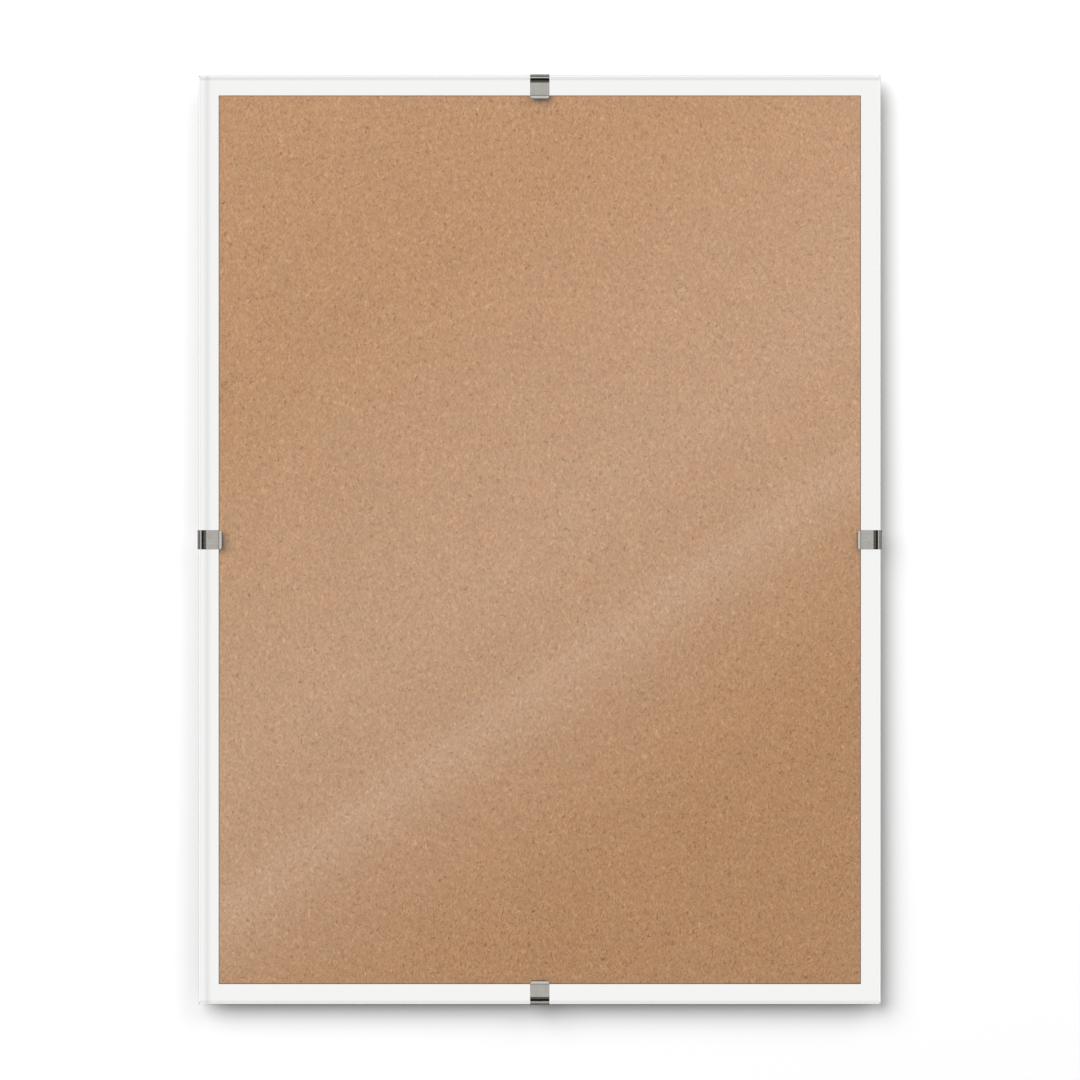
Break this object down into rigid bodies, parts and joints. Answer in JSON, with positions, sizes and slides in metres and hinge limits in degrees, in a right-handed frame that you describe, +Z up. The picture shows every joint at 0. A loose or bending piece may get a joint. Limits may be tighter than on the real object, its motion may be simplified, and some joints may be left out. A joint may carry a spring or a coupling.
{
  "type": "clip frame",
  "caption": "Frameless picture display: clear pane over a brown sheet and smaller hardboard back, gripped by spring clips at mid-sides, with hinged wire hangers behind.",
  "frame": {"origin": "the point where the wall hook bears, inside the apex of the upright hanger's ring", "axes": "+X right as seen from the front, +Y towards the wall, +Z up; the pane faces -Y"},
  "size_m": [0.3012, 0.0102, 0.4098],
  "materials": {
    "pane_glass": "clear float glass with ground edges",
    "brown_card": "plain unprinted brown card with fine fibres and dark flecks",
    "hardboard": "raw hardboard, smooth face forward and screen-textured back",
    "spring_steel": "bright nickelled spring steel strip, lightly brushed",
    "zinc_plated_steel": "zinc plated, satin"
  },
  "bodies": {
    "frame_stack": {"front_pane": "pane_glass", "insert_sheet": "brown_card", "backing_board": "hardboard", "hanger_strap_portrait": "zinc_plated_steel", "hanger_strap_landscape": "zinc_plated_steel", "hanger_rivet_portrait": "zinc_plated_steel", "hanger_rivet_landscape": "zinc_plated_steel"},
    "clip_top": {"clip_top": "spring_steel"},
    "clip_right": {"clip_right": "spring_steel"},
    "clip_bottom": {"clip_bottom": "spring_steel"},
    "clip_left": {"clip_left": "spring_steel"},
    "ring_portrait": {"hanger_ring_portrait": "zinc_plated_steel"},
    "ring_landscape": {"hanger_ring_landscape": "zinc_plated_steel"}
  },
  "joints": [
    {"name": "clip_top_draw", "type": "slide", "parent": "frame_stack", "child": "clip_top", "axis": [0, 0, 1], "range_m": [0, 0.0115]},
    {"name": "clip_right_draw", "type": "slide", "parent": "frame_stack", "child": "clip_right", "axis": [1, 0, 0], "range_m": [0, 0.0115]},
    {"name": "clip_bottom_draw", "type": "slide", "parent": "frame_stack", "child": "clip_bottom", "axis": [0, 0, -1], "range_m": [0, 0.0115]},
    {"name": "clip_left_draw", "type": "slide", "parent": "frame_stack", "child": "clip_left", "axis": [-1, 0, 0], "range_m": [0, 0.0115]},
    {"name": "ring_portrait_swing", "type": "hinge", "parent": "frame_stack", "child": "ring_portrait", "pos_m": [0, 0.00058, -0.01048], "axis": [-1, 0, 0], "range_deg": [0, 178]},
    {"name": "ring_landscape_swing", "type": "hinge", "parent": "frame_stack", "child": "ring_landscape", "pos_m": [0.103, 0.00058, -0.16773], "axis": [0, 0, 1], "range_deg": [0, 178]}
  ]
}
